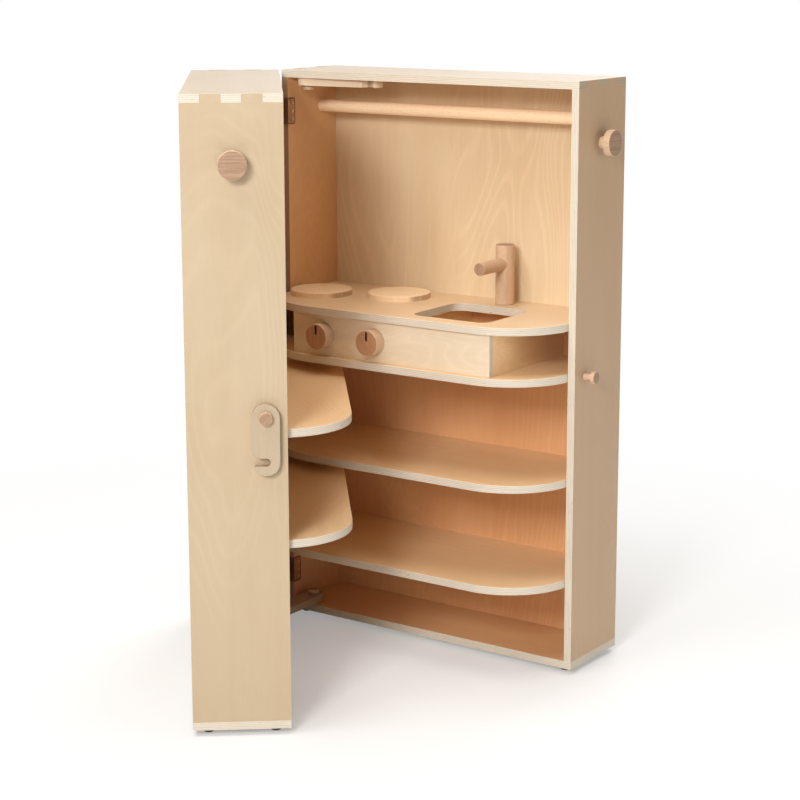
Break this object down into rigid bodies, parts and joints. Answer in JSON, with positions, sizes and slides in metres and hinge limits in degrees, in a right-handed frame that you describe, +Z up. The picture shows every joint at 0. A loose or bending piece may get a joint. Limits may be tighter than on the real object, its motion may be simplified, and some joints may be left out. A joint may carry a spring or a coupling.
{
  "type": "play kitchen",
  "caption": "Folding wooden play kitchen: a kitchen half with worktop, hob discs, sink and shelves, and a hinged door half with shelves, closed by a swinging latch.",
  "frame": {"origin": "centre of the footprint on the floor, with the door half at its rest opening", "axes": "+X along the kitchen half from its hinge side to its latch side, +Y from its open front to its back, +Z up"},
  "size_m": [0.684, 0.6604, 0.909],
  "materials": {
    "birch_plywood": "matt",
    "beech": "matt",
    "bronzed_steel": "satin",
    "steel": "satin",
    "foot_rubber": "matt"
  },
  "bodies": {
    "kitchen_half": {"kitchen_top_panel": "birch_plywood", "kitchen_bottom_panel": "birch_plywood", "kitchen_back_panel": "birch_plywood", "kitchen_hinge_wall": "birch_plywood", "kitchen_latch_wall": "birch_plywood", "kitchen_upper_shelf": "birch_plywood", "kitchen_lower_shelf": "birch_plywood", "unit_floor_board": "birch_plywood", "worktop": "birch_plywood", "kitchen_board_dowels": "beech", "kitchen_feet": "foot_rubber", "fascia": "birch_plywood", "unit_left_side": "birch_plywood", "unit_divider": "birch_plywood", "unit_right_side": "birch_plywood", "left_hob_disc": "beech", "right_hob_disc": "beech", "left_knob_bolt": "steel", "right_knob_bolt": "steel", "faucet_pin": "steel", "hanging_rail": "beech", "kitchen_grip": "beech", "latch_catch_peg": "beech", "bottom_stay_peg": "beech", "top_stay_peg": "beech", "bottom_hinge_kitchen_leaf": "bronzed_steel", "middle_hinge_kitchen_leaf": "bronzed_steel", "top_hinge_kitchen_leaf": "bronzed_steel", "bottom_hinge_pin": "bronzed_steel", "middle_hinge_pin": "bronzed_steel", "top_hinge_pin": "bronzed_steel", "kitchen_hinge_screws": "steel"},
    "door_half": {"door_top_panel": "birch_plywood", "door_bottom_panel": "birch_plywood", "door_back_panel": "birch_plywood", "door_hinge_wall": "birch_plywood", "door_latch_wall": "birch_plywood", "door_upper_shelf": "birch_plywood", "door_lower_shelf": "birch_plywood", "door_board_dowels": "beech", "door_feet": "foot_rubber", "door_grip": "beech", "latch_pivot_peg": "beech", "bottom_hinge_door_leaf": "bronzed_steel", "middle_hinge_door_leaf": "bronzed_steel", "top_hinge_door_leaf": "bronzed_steel", "door_hinge_screws": "steel"},
    "latch": {"latch_bar": "birch_plywood"},
    "left_knob": {"left_control_knob": "beech"},
    "right_knob": {"right_control_knob": "beech"},
    "faucet": {"faucet_post": "beech", "faucet_spout": "beech"},
    "bottom_stay": {"bottom_stay_bar": "birch_plywood"},
    "top_stay": {"top_stay_bar": "birch_plywood"}
  },
  "joints": [
    {"name": "door_hinge", "type": "hinge", "parent": "kitchen_half", "child": "door_half", "pos_m": [-0.23396, 0.18865, 0.459], "axis": [0, 0, 1], "range_deg": [-129, 51]},
    {"name": "latch_pivot", "type": "hinge", "parent": "door_half", "child": "latch", "pos_m": [0.08957, -0.26093, 0.466], "axis": [0.6293, -0.7771, 0], "range_deg": [-180, 90]},
    {"name": "left_knob_turn", "type": "hinge", "parent": "kitchen_half", "child": "left_knob", "pos_m": [-0.08396, 0.10115, 0.50525], "axis": [0, -1, 0], "continuous": true},
    {"name": "right_knob_turn", "type": "hinge", "parent": "kitchen_half", "child": "right_knob", "pos_m": [0.01304, 0.10115, 0.50525], "axis": [0, -1, 0], "continuous": true},
    {"name": "faucet_swivel", "type": "hinge", "parent": "kitchen_half", "child": "faucet", "pos_m": [0.13504, 0.28515, 0.55], "axis": [0, 0, 1], "range_deg": [-90, 90]},
    {"name": "bottom_stay_pivot", "type": "hinge", "parent": "kitchen_half", "child": "bottom_stay", "pos_m": [-0.19296, 0.21016, 0.021], "axis": [0, 0, 1], "range_deg": [0, 135]},
    {"name": "top_stay_pivot", "type": "hinge", "parent": "kitchen_half", "child": "top_stay", "pos_m": [-0.19296, 0.21016, 0.897], "axis": [0, 0, 1], "range_deg": [-96, 39]}
  ]
}
